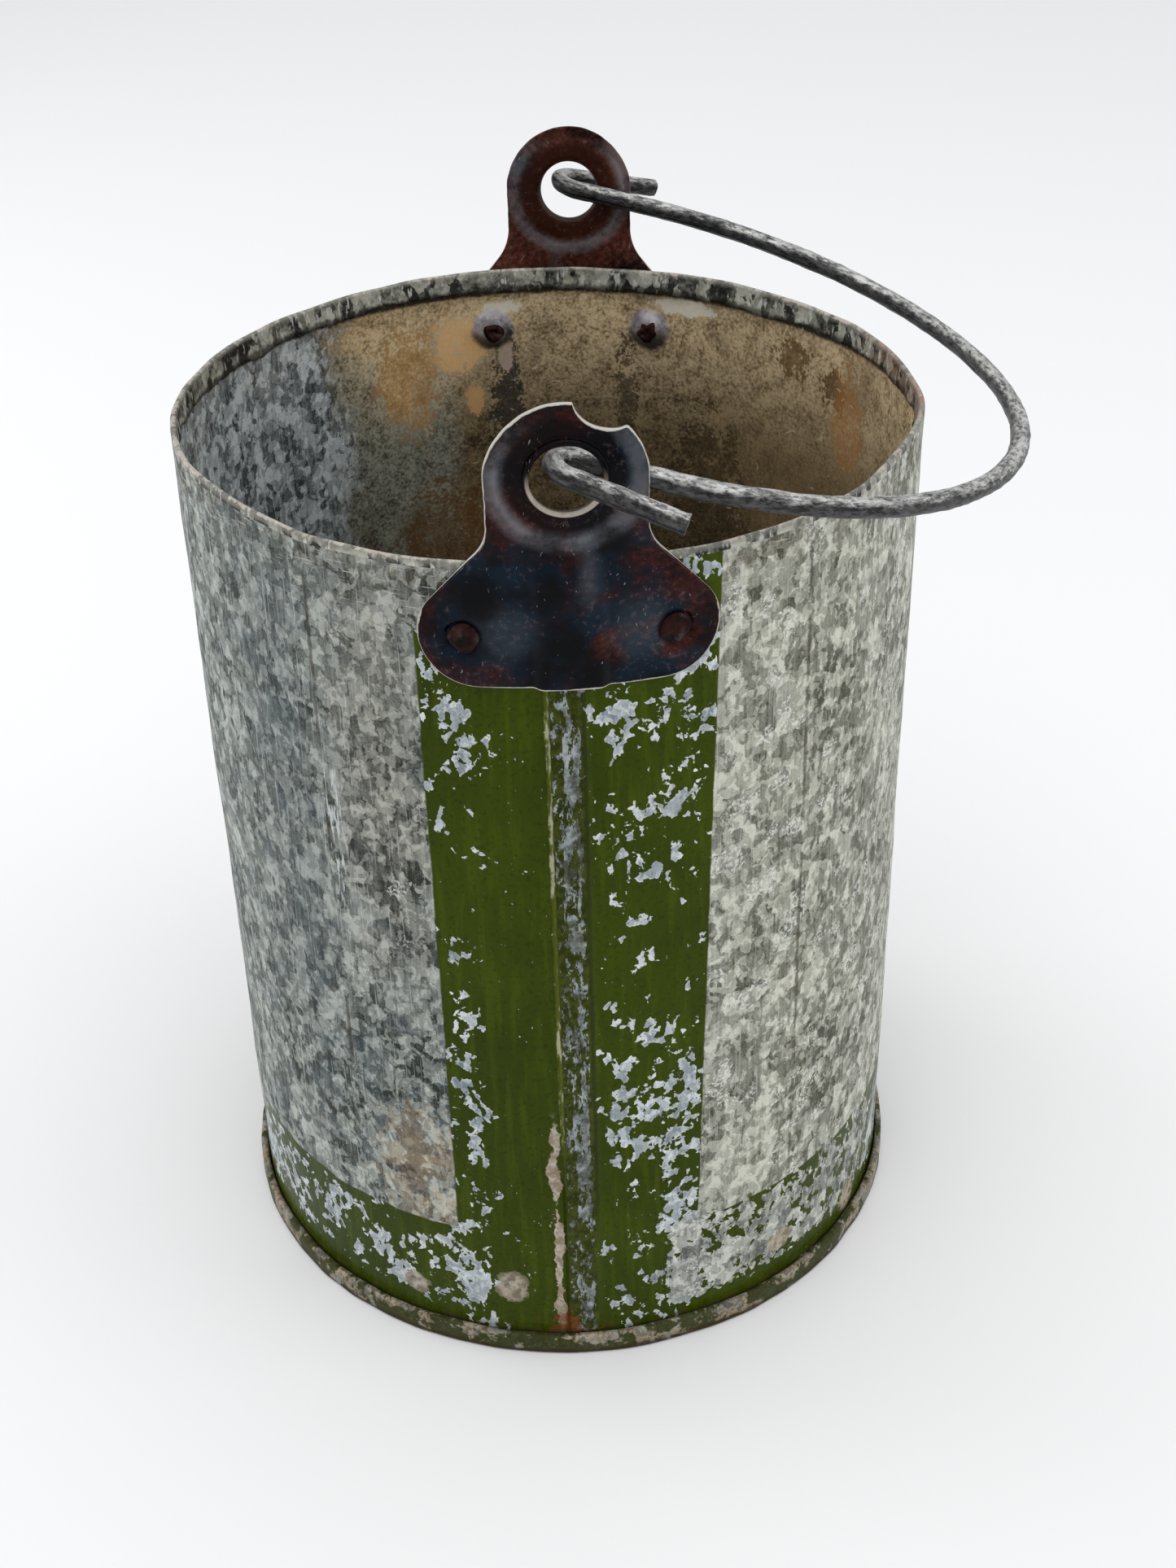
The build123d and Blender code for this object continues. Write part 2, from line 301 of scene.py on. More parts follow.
def make_shell(looks):
    """The side sheet, from the hem's free edge over the rim and down to the hook in the foot's seam."""
    hem_middle = wall_middle - sheet - hem_gap
    hook_middle = wall_middle + 2 * layer_pitch
    hook_low = 1.1
    corners = [
        (hem_middle, rim_height - hem_height),
        (hem_middle, rim_height - sheet / 2),
        (wall_middle, rim_height - sheet / 2),
        (wall_middle, rivet_level + dome_radius + 1),
        (wall_middle, rivet_level - dome_radius - 1),
        (wall_middle, hook_low),
        (hook_middle, hook_low),
        (hook_middle, foot_height - 3 * sheet),
    ]
    radii = [fold_radius, fold_radius, 0, 0, foot_bend, foot_bend]
    line = rounded_line(corners, radii, steps=[7, 1, 8, 21, 62, 1, 3])
    left, right, hem_end, hook_end = sheet_sides(line, sheet)
    section = np.concatenate([left, [hook_end], right[::-1], [hem_end]])
    count = len(line)
    is_outer = np.arange(len(section)) < count
    angle = shell_columns()[:, None]
    radius, height = section[None, :, 0], section[None, :, 1]

    # The hem's inner layer hangs free: its edge is ragged and it was hammered in folds.
    hem_layer = (section[:, 0] < wall_middle - sheet / 2 - 0.05) & (section[:, 1] > rim_height - 10)
    hang = np.where(hem_layer, np.clip((rim_height - section[:, 1]) / hem_height, 0, 1.1), 0)[None, :]
    ragged = 0.55 * waves(angle, 0, 24, 4) + 0.45 * waves(angle, 0, 8, 5) + 0.22 * waves(angle, 0, 2.6, 6)
    loose = 0.75 + 0.45 * waves(angle, 0, 26, 7) + 0.3 * waves(angle, 0, 9, 8)
    draw = np.random.default_rng(9)
    pleats, pleat_count = 0, 46
    for _ in range(pleat_count):
        away = between(angle, draw.uniform(-pi, pi)) * body_radius
        pleats = pleats + draw.uniform(-0.3, 0.7) * np.exp(-np.abs(away) / 1.1)
    height = height + hang**2 * ragged
    radius = radius - hang * np.clip(loose, -0.2, 1.6) + hang * (1.15 - hang) * 1.6 * pleats
    radius = radius - (0.16 * waves(angle, height, 5, 10) + 0.16 * waves(angle, height, 11, 14)) * hang
    # The rim rises and falls a little.
    near_rim = smooth(height, rim_height - 25, rim_height)
    radius = radius + near_rim * 0.16 * waves(angle, 0, 20, 11)
    height = height + near_rim * (0.35 * waves(angle, 0, 90, 12) + 0.12 * waves(angle, 0, 15, 13) - 0.4)

    above_foot = smooth(section[:, 1], foot_height - 2, foot_height + 1)[None, :]
    radius = radius + (dents(angle, height) - rivet_domes(angle, height)) * above_foot
    on_wall = (is_outer & (section[:, 0] > wall_middle) & (section[:, 0] < body_radius + 0.1))[None, :]
    radius = radius + np.where(on_wall, lock_seam(angle, height), 0)

    on_hem = hem_layer | (section[:, 1] > rim_height - 0.9)
    look_of_row = np.where(on_hem, 2, np.where(is_outer, 0, 1))
    piece = grid_piece("shell_sheet", placed(0, radius, height, angle), looks, look_of_row)
    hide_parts("body_shell")
    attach(piece, "pail")


# ---- bottom pan ----


def make_pan(looks):
    """The recessed disc, its countersink wall and the fold that closes over the side's hook."""
    countersink = body_radius - sheet - 0.1 - sheet / 2
    wall = wall_middle + 3 * layer_pitch
    fold = wall_middle + layer_pitch
    fold_end_height = 2.3
    disc_bend, countersink_bend = 2.0, 0.75
    corners = [
        (0, disc_height),
        (countersink, disc_height),
        (countersink, sheet / 2),
        (wall, sheet / 2),
        (wall, foot_height - sheet / 2),
        (fold, foot_height - sheet / 2),
        (fold, fold_end_height),
    ]
    radii = [disc_bend, countersink_bend, countersink_bend, foot_bend, foot_bend]
    line = rounded_line(corners, radii, steps=[24, 4, 2, 10, 1, 4])
    left, right, _, fold_end = sheet_sides(line, sheet)
    section = np.concatenate([left, [fold_end], right[::-1]])
    columns = 480
    angle = spread(-pi, pi, np.ones_like, columns)[:, None]
    radius, height = section[None, :, 0], section[None, :, 1]
    on_disc = 1 - smooth(radius, countersink - 12, countersink - 3)
    height = height + on_disc * smooth(radius, 0, 30) * 0.5 * waves(angle, radius, 60, 20)
    on_band = smooth(radius, body_radius, body_radius + 1)
    upper = smooth(height, 3, foot_height)
    radius = radius + on_band * (0.1 * waves(angle, height, 9, 21) + 0.16 * waves(angle, 0, 30, 22))
    radius = radius - on_band * 0.12
    height = height + on_band * upper * (0.22 * waves(angle, 0, 13, 23) + 0.2 * waves(angle, 0, 45, 24))
    piece = grid_piece("foot_pan", placed(0, radius, height, angle), looks, closed_rows=False)
    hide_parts("bottom_pan")
    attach(piece, "pail")


# ---- ears ----


def ear_reach(direction, notched):
    """Distance from the hole's centre to the ear's outline, in directions round from straight down."""
    side = rounded_line(
        [(head_radius, 0), (head_radius, -neck_drop), (wing_x, wing_top), (wing_x, wing_bottom)]
        + [(0, wing_bottom)],
        radii=[neck_radius, wing_radius, wing_radius],
        steps=[4, 8, 4, 16],
        arc_steps=14,
    )
    bearing = np.arctan2(side[:, 0], -side[:, 1])[::-1]
    reach = np.interp(np.abs(direction), bearing, np.hypot(side[:, 0], side[:, 1])[::-1])
    reach = np.where(np.abs(direction) > pi / 2, head_radius, reach)
    if notched:
        bite, away = notch_radius, np.hypot(notch_x, notch_z)
        off = between(direction, pi - np.arctan2(notch_x, notch_z))
        inside = np.abs(off) < asin(bite / away)
        near_side = away * np.cos(off) - np.sqrt(np.maximum(bite**2 - (away * np.sin(off)) ** 2, 0))
        reach = np.where(inside, np.minimum(reach, near_side), reach)
    return reach + 0.1 * waves(direction, 0, 60, 30) + 0.05 * waves(direction, 0, 20, 31)


def ear_middle_out(x, rise):
    """How far out the middle of the ear's sheet lies, x across it and rise above the rim."""
    curved = np.sqrt(ear_middle**2 - x**2)
    flat = ear_middle + tan(ear_lean) * (rise - bend_rise)
    out = curved + (flat - curved) * smooth(rise, bend_rise - 2, flat_rise + 1)
    out = out + channel_rise * (1 - smooth(np.abs(x), *channel_side)) * (1 - smooth(rise, -5, 6))
    out = out - dish_depth * (1 - smooth(np.hypot(x, rise - hole_rise), *dish_side))
    for side in (-1, 1):
        seat = np.hypot(x - side * ear_middle * sin(rivet_angle), rise + rivet_drop)
        out = out - pocket_depth * (1 - smooth(seat, *pocket_side)) - 0.15 * (1 - smooth(seat, 5, 10))
    return out + 0.1 * waves(x / body_radius, rise, 24, 32)


def make_ear(end, notched, look):
    """One stamped ear, as rings that run from its outline to the eye and back behind."""
    edge_round = 0.45
    lip_bend = 1.1
    spokes, face_rings, edge_rings = 380, 54, 6
    lip_middle = hole_radius + ear_thickness / 2
    eye_line = rounded_line(
        [(eye_reach, -dish_depth), (lip_middle, -dish_depth), (lip_middle, lip_end_out)],
        radii=[lip_bend],
        steps=[2, 3],
    )
    back_side, front_side, _, lip_end = sheet_sides(eye_line, ear_thickness)
    # down the front of the lip, over its rounded end and back up the hole's wall
    over_end = [
        front_side[-1] * [1, 0] + [-0.25, 1.0],
        lip_end + [0, -0.15],
        back_side[-1] * [1, 0] + [0.2, 1.0],
    ]
    lip = np.concatenate([front_side[1:-1], over_end, back_side[-2:0:-1]])
    half = ear_thickness / 2
    inward = np.linspace(1, 0, face_rings)
    turn = np.linspace(0.2, pi - 0.2, edge_rings)

    direction = spread(-pi, pi, lambda a: 1 + 1.4 * np.exp(-(a**4)), spokes)[:, None]
    reach = ear_reach(direction, notched)
    face_reach = eye_reach + (reach - edge_round - eye_reach) * inward[None, :]
    edge_reach = reach - edge_round + edge_round * np.sin(turn)[None, :]
    across = np.ones_like(direction)
    distance = np.concatenate([face_reach, across * lip[:, 0], face_reach[:, ::-1], edge_reach], axis=1)
    # offset along the sheet's normal; the lip's own heights already count the dish
    offset = np.concatenate(
        [across * half + 0 * face_reach, across * (lip[:, 1] + dish_depth), -half + 0 * face_reach]
        + [-across * half * np.cos(turn)],
        axis=1,
    )
    x = distance * np.sin(direction)
    rise = hole_rise - distance * np.cos(direction)
    step = 0.05
    middle = ear_middle_out(x, rise)
    slope_x = (ear_middle_out(x + step, rise) - ear_middle_out(x - step, rise)) / (2 * step)
    slope_up = (ear_middle_out(x, rise + step) - ear_middle_out(x, rise - step)) / (2 * step)
    length = np.sqrt(1 + slope_x**2 + slope_up**2)
    right, out = x - offset * slope_x / length, middle + offset / length
    up = rim_height + rise - offset * slope_up / length

    # for the material: the place on the flat plate, and how far its outline is
    plate = np.stack([x, rise - hole_rise, offset], axis=-1).reshape(-1, 3)
    outline = KDTree(len(direction))
    for k, (bearing, far) in enumerate(zip(direction[:, 0], reach[:, 0])):
        outline.insert((far * sin(bearing), -far * cos(bearing), 0), k)
    outline.balance()
    edge = np.array([outline.find((px, pz, 0))[2] for px, pz, _ in plate])
    points = placed(right, out, up, ear_angles[end])
    piece = grid_piece("ear_plate_" + end, points, [look], notes={"plate": plate, "edge": edge})
    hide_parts(end + "_ear")
    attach(piece, "pail")


# ---- rivets ----


def make_rivet(end, hand, look, seed):
    """A flattened head in the ear's pocket, the shank, and a peened tail on the dome inside."""
    side = {"left": -1, "right": 1}[hand]
    angle = ear_angles[end] + side * rivet_angle
    pocket = ear_middle + ear_thickness / 2 - pocket_depth - 0.1
    dome = body_radius - sheet - dome_depth
    # distance from the rivet's axis and from the pail's: the tail, the shank and the head
    profile = np.array(
        [
            (0, dome - 0.75), (0.7, dome - 0.85), (1.3, dome - 1.15), (1.9, dome - 1.3), (2.4, dome - 1.15),
            (2.75, dome - 0.7), (2.85, dome - 0.3), (2.6, dome), (1.6, dome + 0.05), (1.6, pocket),
            (3.2, pocket), (3.6, pocket + 0.15), (3.75, pocket + 0.5), (3.65, pocket + 0.85),
            (3.3, pocket + 1.05), (2.5, pocket + 1.12), (1.3, pocket + 1.15), (0, pocket + 1.15),
        ]
    )
    sides = 40
    turn = np.arange(sides)[:, None] * tau / sides
    radius, out = profile[None, :, 0], profile[None, :, 1]
    is_tail = 1 - smooth(out, dome - 0.2, dome + 0.2)
    draw = np.random.default_rng(seed)
    uneven = sum(draw.uniform(-0.09, 0.09) * np.cos(k * turn + draw.uniform(0, tau)) for k in range(1, 7))
    radius = radius * (1 + uneven * (0.35 + 1.4 * is_tail))
    right = radius * np.cos(turn)
    up = radius * np.sin(turn) - is_tail * 0.3
    # the tail was peened at a slant, so its lower side stands further out of the dome
    out = out + is_tail * 0.16 * up + 0.05 * radius * uneven * 8
    points = placed(right, out, rivet_level + up, angle)
    piece = grid_piece(f"rivet_{end}_{hand}", points, [look], closed_rows=False)
    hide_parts(f"{end}_rivet_{hand}")
    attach(piece, "pail")


# ---- bail ----


def wire_half():
    """Half of the bail in its own plane, from the middle of the bow to the cut end."""
    bow_steps, leg_steps, hook_steps, tail_steps = 150, 22, 36, 24
    bow = np.linspace(0, pi / 2 + leg_splay, bow_steps)
    points = [(bow_centre + bow_radius * cos(a), bow_radius * sin(a)) for a in bow]
    heading = pi + leg_splay
    leg_start = bow_centre - bow_radius * sin(leg_splay)
    leg_end = hook_radius * (1 + sin(leg_splay))
    leg_length = (leg_start - leg_end) / cos(leg_splay)
    hook_step = (pi + leg_splay - tail_splay) / hook_steps
    steps = [(leg_length / leg_steps, 0)] * leg_steps
    steps += [(2 * hook_radius * sin(hook_step / 2), -hook_step)] * hook_steps
    steps += [(tail_length / tail_steps, 0)] * tail_steps
    x, y = points[-1]
    for length, turn in steps:
        heading += turn / 2
        x, y = x + length * cos(heading), y + length * sin(heading)
        heading += turn / 2
        points.append((x, y))
    return np.array(points)


def make_bail(look):
    """One bent wire, from cut end to cut end."""
    half = wire_half()
    line = np.concatenate([half[::-1] * [1, -1], half[1:]])
    along = headings(line)
    travelled = np.concatenate([[0], np.cumsum(np.linalg.norm(np.diff(line, axis=0), axis=1))])
    # the wire wanders a little out of its plane over the bow, but not in the hooks
    from_end = np.minimum(travelled, travelled[-1] - travelled)
    lift = 0.45 * waves(travelled / body_radius, 0, 150, 40) * smooth(from_end, 60, 110)
    sides = 22
    turn = np.arange(sides) * tau / sides
    surface = 0.035 * waves(turn[None, :] * 0.16, travelled[:, None], 5, 41)
    surface = surface + 0.03 * waves(turn[None, :] * 0.16, travelled[:, None], 14, 42)
    radius = wire_radius * (1 + surface)
    # The ends were cropped, which left a burr and a rough slanted face. A ring is its place on
    # the line, its radius and how far it stands past the end.
    burr = 1 + 0.07 * np.cos(turn * 2 + 1) + 0.05 * np.cos(turn * 5)
    last = len(line) - 1
    face = ((0.93, 0.22), (0.6, 0.1), (0.3, 0.05), (0.0, 0.02))
    rings = [(0, radius[0] * share, -past) for share, past in face[::-1]]
    rings += [(k, radius[k] * (burr if k in (0, last) else 1), 0.0) for k in range(len(line))]
    rings += [(last, radius[last] * share, past) for share, past in face]
    face_slant = 0.35
    side_out = np.array([-sin(bail_tilt), 0, cos(bail_tilt)])
    forward, sideways = np.array([cos(bail_tilt), 0, sin(bail_tilt)]), np.array([0, 1.0, 0])
    points = []
    for k, size, past in rings:
        ahead = along[k, 0] * forward + along[k, 1] * sideways
        across = np.cross(side_out, ahead)
        slant = past + face_slant * size / wire_radius * np.cos(turn) * np.sign(past)
        centre = hinge + line[k, 0] * forward + line[k, 1] * sideways + lift[k] * side_out
        around = np.cos(turn)[:, None] * across + np.sin(turn)[:, None] * side_out
        points.append(centre + around * size[:, None] + slant[:, None] * ahead)
    # for the material: the distance along the wire and the place across it
    lengthwise = travelled[[k for k, _, _ in rings]][None, :]
    side, up = wire_radius * np.cos(turn)[:, None], wire_radius * np.sin(turn)[:, None]
    place = np.stack(np.broadcast_arrays(lengthwise, side, up), axis=-1).reshape(-1, 3)
    grid = np.array(points).transpose(1, 0, 2)
    piece = grid_piece("bail_rod", grid, [look], closed_rows=False, notes={"wire_place": place})
    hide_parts("bail")
    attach(piece, "bail")


# ---- materials: short names for shader nodes ----


def tone(screen):
    """A colour from its red, green and blue on a screen, 0 to 255."""
    return tuple((value / 255) ** 2.2 for value in screen) + (1.0,)


def operation(name):
    """A Field's method that puts it, and what it is combined with, through a Math node."""
    return lambda *values: values[0].look.math(name, *values)


class Field:
    """A value that varies over a surface: a node's output that takes ordinary arithmetic."""

    def __init__(self, look, socket):
        self.look, self.socket = look, socket

    __add__ = __radd__ = operation("ADD")
    __sub__ = operation("SUBTRACT")
    __mul__ = __rmul__ = operation("MULTIPLY")
    __abs__ = operation("ABSOLUTE")
    most = operation("MAXIMUM")

    def __rsub__(self, other):
        return self.look.math("SUBTRACT", other, self)

    def fade(self, low, high):
        """0 up to low, 1 from high on, and an S-curve between; low may be the greater."""
        node = self.look.node("MapRange", interpolation_type="SMOOTHSTEP")
        self.look.feed(node.inputs["Value"], self)
        node.inputs["From Min"].default_value = low
        node.inputs["From Max"].default_value = high
        return Field(self.look, node.outputs["Result"])

    def shade(self, low, high, first, second):
        """A colour that goes from first to second as the value goes from low to high."""
        return self.look.mix(self.fade(low, high), first, second)

    def swing(self, amount):
        """The value less a half, times an amount, so that it goes either side of zero."""
        return (self - 0.5) * amount

    def band(self, low, high, soft):
        """1 between low and high and 0 outside, with soft edges."""
        return self.fade(low - soft, low + soft) * self.fade(high + soft, high - soft)


class Look:
    """One material, with the surface's own place in millimetres and short calls for its nodes."""

    def __init__(self, name, place_from=None):
        self.material = bpy.data.materials.new(name)
        self.material.use_nodes = True
        self.tree = self.material.node_tree
        self.shader = self.tree.nodes["Principled BSDF"]
        if place_from:
            self.place = self.node("Attribute", attribute_name=place_from).outputs["Vector"]
        else:
            metres = self.node("TexCoord").outputs["Object"]
            self.place = self.vector("SCALE", metres, Scale=1 / MM)
        parts = self.node("SeparateXYZ", Vector=self.place)
        self.x, self.y, self.z = (Field(self, parts.outputs[k]) for k in range(3))

    def node(self, kind, **settings):
        made = self.tree.nodes.new("ShaderNode" + kind)
        for key, value in settings.items():
            if key in made.inputs:
                self.feed(made.inputs[key], value)
            else:
                setattr(made, key, value)
        return made

    def feed(self, socket, value):
        if isinstance(value, Field):
            value = value.socket
        if isinstance(value, bpy.types.NodeSocket):
            self.tree.links.new(value, socket)
        else:
            socket.default_value = value

    def result(self, kind, operation, values, **named):
        made = self.node(kind, operation=operation, **named)
        for socket, value in zip(made.inputs, values):
            self.feed(socket, value)
        return made.outputs[0]

    def math(self, operation, *values):
        return Field(self, self.result("Math", operation, values))

    def vector(self, operation, *values, **named):
        return self.result("VectorMath", operation, values, **named)

    def distance(self, across, up):
        """How far a place is from where both are 0."""
        return self.math("SQRT", across * across + up * up)

    def round_about(self):
        """Millimetres round the pail from the front, towards +X."""
        return self.math("ARCTAN2", self.x, 0 - self.y) * body_radius

    def scaled(self, size, stretch, seed, place):
        ratio = tuple(1 / (size * s) for s in stretch)
        moved = self.vector("MULTIPLY", place or self.place, ratio)
        return self.vector("ADD", moved, (seed * 7.31, seed * 3.17, seed * 5.93))

    def noise(self, size, seed, detail=4.0, rough=0.5, stretch=(1, 1, 1), place=None):
        """Soft random lumps about `size` mm across, 0 to 1 with most of it near a half."""
        where = self.scaled(size, stretch, seed, place)
        made = self.node("TexNoise", Vector=where, Scale=1.0, Detail=detail, Roughness=rough)
        return Field(self, made.outputs[0])

    def warped(self, size, amount, seed=0, detail=2.0):
        """The surface's place, pushed about by up to `amount` mm so that patches turn ragged."""
        where = self.scaled(size, (1, 1, 1), seed, None)
        made = self.node("TexNoise", Vector=where, Scale=1.0, Detail=detail)
        push = self.vector("SUBTRACT", made.outputs["Color"], (0.5, 0.5, 0.5))
        return self.vector("ADD", self.place, self.vector("SCALE", push, Scale=2 * amount))

    def cells(self, size, seed, stretch=(1, 1, 1), place=None):
        """A random value, 0 to 1, for each of many cells about `size` mm across."""
        made = self.node("TexVoronoi", Vector=self.scaled(size, stretch, seed, place), Scale=1.0)
        parts = self.node("SeparateXYZ", Vector=made.outputs["Color"])
        return Field(self, parts.outputs[0])

    def mix(self, share, first, second):
        """first where share is 0 and second where it is 1; a plain colour is its screen values."""
        made = self.node("Mix", data_type="RGBA")
        for socket, value in ((0, share), (6, first), (7, second)):
            self.feed(made.inputs[socket], tone(value) if isinstance(value, tuple) else value)
        return made.outputs[2]

    def cover(self, share, colour):
        """Lays a colour over what the surface has so far, where share is 1."""
        self.colour = self.mix(share, self.colour, colour)

    def finish(self, roughness, relief, metallic=0.0, specular=0.5):
        """Feeds the shader; relief is in millimetres."""
        names = "Base Color", "Roughness", "Metallic", "Specular IOR Level"
        for name, value in zip(names, (self.colour, roughness, metallic, specular)):
            self.feed(self.shader.inputs[name], value)
        bump = self.node("Bump", Height=relief, Distance=MM)
        self.tree.links.new(bump.outputs["Normal"], self.shader.inputs["Normal"])
        return self.material


def spot(across, height, at, size, ragged):
    """1 in a ragged round patch at a place on the surface."""
    far_x = (across - at[0]) * (1 / size[0])
    far_z = (height - at[1]) * (1 / size[1])
    return (far_x * far_x + far_z * far_z + ragged).fade(1.25, 0.75)


# ---- galvanised sheet ----


def spangle(look, seed=0):
    """Weathered zinc crystal: 0 where the patches are darkest and 1 where they are palest."""
    ragged = look.warped(3.0, 2.0, seed, detail=3.0)
    large = look.cells(4.3, seed + 1, stretch=(1, 1, 1.3), place=ragged)
    small = look.cells(2.3, seed + 2, stretch=(1, 1, 1.2), place=ragged)
    tiny = look.cells(1.4, seed + 7, stretch=(1, 1, 1.6), place=ragged)
    clouds = look.noise(30, seed + 3, detail=3)
    mottle = look.noise(2.0, seed + 4, rough=0.7)
    streaks = look.noise(0.9, seed + 5, detail=2, rough=0.6, stretch=(1, 1, 18))
    grain = look.noise(0.5, seed + 6, detail=2)
    flakes = large.fade(0.68, 0.76) * 0.12 + small.fade(0.7, 0.78) * 0.2 + tiny.fade(0.72, 0.8) * 0.17
    hollows = tiny.fade(0.16, 0.08) * 0.06 + small.fade(0.12, 0.05) * 0.05
    total = clouds * 0.52 + mottle * 0.27 + streaks * 0.34 + grain * 0.3 + large * 0.16 + flakes - hollows
    return (total - 0.875) * 1.7 + 0.37


def outside_look():
    """Zinc outside, with what is left of the olive paint down the front and round the foot."""
    # the stripe, left and right of the front, and how much wider it gets with height
    stripe_left, stripe_right, stripe_widens = 31.0, 36.6, 0.024
    band_height = 43.5
    bare_low, bare_high = 0.925, 0.94
    look = Look("painted_zinc")
    around, height = look.round_about(), look.z
    crystal = spangle(look)
    right_side = around.fade(-15, 60) * around.fade(300, 200)
    fine = look.noise(3.0, 31, rough=0.65)
    shadow = around.band(-92, -60, 20) * height.band(100, 262, 35)
    bluish = look.cells(6.6, 5, place=look.warped(4.5, 2.4, 0, detail=4.0)) * 0.6 + fine * 0.4
    cool = look.mix(crystal, (52, 58, 55), (184, 189, 182))
    cool = look.mix(bluish.fade(0.5, 0.7) * 0.16, cool, (112, 130, 138))
    cool = look.mix(shadow * 0.3, cool, (66, 78, 84))
    by_stripe = around.band(-56, -30, 14) * height.band(130, 262, 50)
    cool = look.mix(by_stripe * 0.6, cool, look.mix(crystal, (58, 56, 48), (170, 166, 153)))
    warm = look.mix(crystal + 0.05, (80, 81, 69), (208, 208, 194))
    look.colour = look.mix(right_side, cool, warm)
    fleck_patches = look.cells(5, 32, place=look.warped(3, 2, 30)) + right_side * 0.14 - 0.12
    flecks = look.noise(0.9, 29, detail=3, rough=0.7).fade(0.5, 0.58) * fleck_patches.fade(0.84, 0.9)
    look.cover(flecks * 0.75, (226, 228, 223))
    scratches = look.noise(0.5, 33, detail=1, stretch=(1, 1, 60)).fade(0.66, 0.72)
    look.cover(scratches * 0.45, (190, 193, 190))
    scuffs = look.noise(0.9, 46, detail=3, rough=0.6, stretch=(1, 1, 9)).fade(0.54, 0.6)
    scuffs = scuffs * abs(around + 59).fade(5, 1) * height.band(146, 192, 10)
    look.cover(scuffs * 0.7, (216, 220, 220))
    # brown bruising and pale rubs below the rim
    bruise = (fine * 0.8 + height.fade(215, 252) * 0.45).fade(0.78, 0.98)
    look.cover(bruise * 0.5, (92, 82, 64))
    rubs = look.noise(0.5, 28, detail=2, stretch=(14, 14, 1)).fade(0.62, 0.7) * height.fade(225, 245)
    look.cover(rubs * 0.5, (204, 202, 192))
    broken = look.noise(5, 44, rough=0.65, stretch=(1, 1, 2))
    clouds = look.noise(40, 26, detail=3)
    kinks = 0
    for crease in fold_creases:
        kinks = (abs(around - crease) + fine.swing(1.6)).fade(0.9, 0.2) + kinks
    worn_kinks = kinks * height.fade(38, 50) * (broken + clouds * 0.5).fade(0.68, 0.82)
    look.cover(worn_kinks * 0.7, (66, 60, 48))
    patchy = look.noise(8, 27, detail=5, rough=0.65)
    stain = spot(around, height, (-41, 61), (14, 27), patchy.swing(7)) * patchy.fade(0.34, 0.6)
    tan_crystal = look.mix(crystal * 0.5 + fine * 0.5, (128, 104, 74), (222, 206, 178))
    look.cover(stain * 0.6, tan_crystal)
    core = spot(around, height, (-43, 68), (4, 13), patchy.swing(8) + fine.swing(8))
    look.cover(core * 0.55, (84, 66, 44))

    # where the olive paint was put on: a stripe over the lock seam and a band at the foot
    wander = look.noise(9, 34, detail=3).swing(0.8)
    right_edge = stripe_right + height * stripe_widens
    stripe = (around + stripe_left + wander).fade(-0.25, 0.25)
    stripe = stripe * (right_edge - around + wander).fade(-0.25, 0.25)
    worn_away = (height + fine.swing(10) + broken.swing(14)).fade(234, 238) * around.fade(-18, -21)
    stripe = stripe * (1 - worn_away)
    band_top = band_height + look.noise(30, 35, rough=0.6).swing(5)
    band = (band_top - height).fade(-0.3, 0.3)
    painted = stripe.most(band)

    # where it has come off: angular flakes in clusters, small pits, and wear along the lock seam
    ragged = look.warped(2.2, 1.5, 36)
    flake_cells = look.cells(2.3, 37, stretch=(1, 1, 1.4), place=ragged)
    clusters = look.noise(11, 38, rough=0.6)
    by_edges = around.band(-31, -19, 5) * 0.17 + around.band(12, 39, 4) * 0.145
    calm = around.band(-12, -2, 3) * 0.12
    on_band = height.band(13, 42, 4) * (around.band(-28, 30, 5) * -1 + 1) * 0.215
    corner = around.fade(18, 34) * around.fade(150, 95) * height.band(12, 44, 5) * 0.13
    bare_top = height.fade(212, 228) * (around.fade(-10, -26) * 0.06 + around.fade(24, 36) * 0.1)
    low_right = spot(around, height, (33, 76), (6, 30), fine.swing(3)) * 0.1
    zones = (height.band(182, 236, 8) + height.band(62, 108, 8)) * 0.02
    zones = low_right + zones - height.band(118, 166, 6) * 0.05
    loss = clusters + flake_cells * 0.34 + by_edges + on_band + corner + zones + bare_top - calm
    bare = loss.fade(bare_low, bare_high)
    pits = (look.noise(1.3, 39, detail=2) + clusters.swing(0.25)).fade(0.735, 0.75)
    narrowing = look.noise(7, 45, rough=0.65, stretch=(1, 1, 2.5))
    on_seam = (abs(around - 4.9) + narrowing.swing(7)).fade(2.6, 1.8)
    seam_wear = look.noise(3.2, 40, detail=5, rough=0.65, stretch=(1, 1, 4))
    worn_seam = (seam_wear * on_seam).fade(0.495, 0.515)
    # a painted shadow along the lock seam's right edge
    seam_edge_shadow = (abs(around - 8.6) + fine.swing(0.8)).fade(0.8, 0.2) * height.fade(40, 60)
    # a painted highlight along the seam's crease at its left edge
    crease_highlight = (abs(around - (seam_middle - seam_half) + 0.2) + fine.swing(0.9)).fade(0.75, 0.25)
    on_ridge = around.band(0.2, 8.0, 0.6)
    worn_ridge = (look.noise(1.7, 47, rough=0.7, stretch=(1, 1, 1.8)) * on_ridge).fade(0.54, 0.57)
    worn_seam = worn_seam.most(worn_ridge)
    bare = bare.most(pits).most(worn_seam)
    paint = painted * (1 - bare)
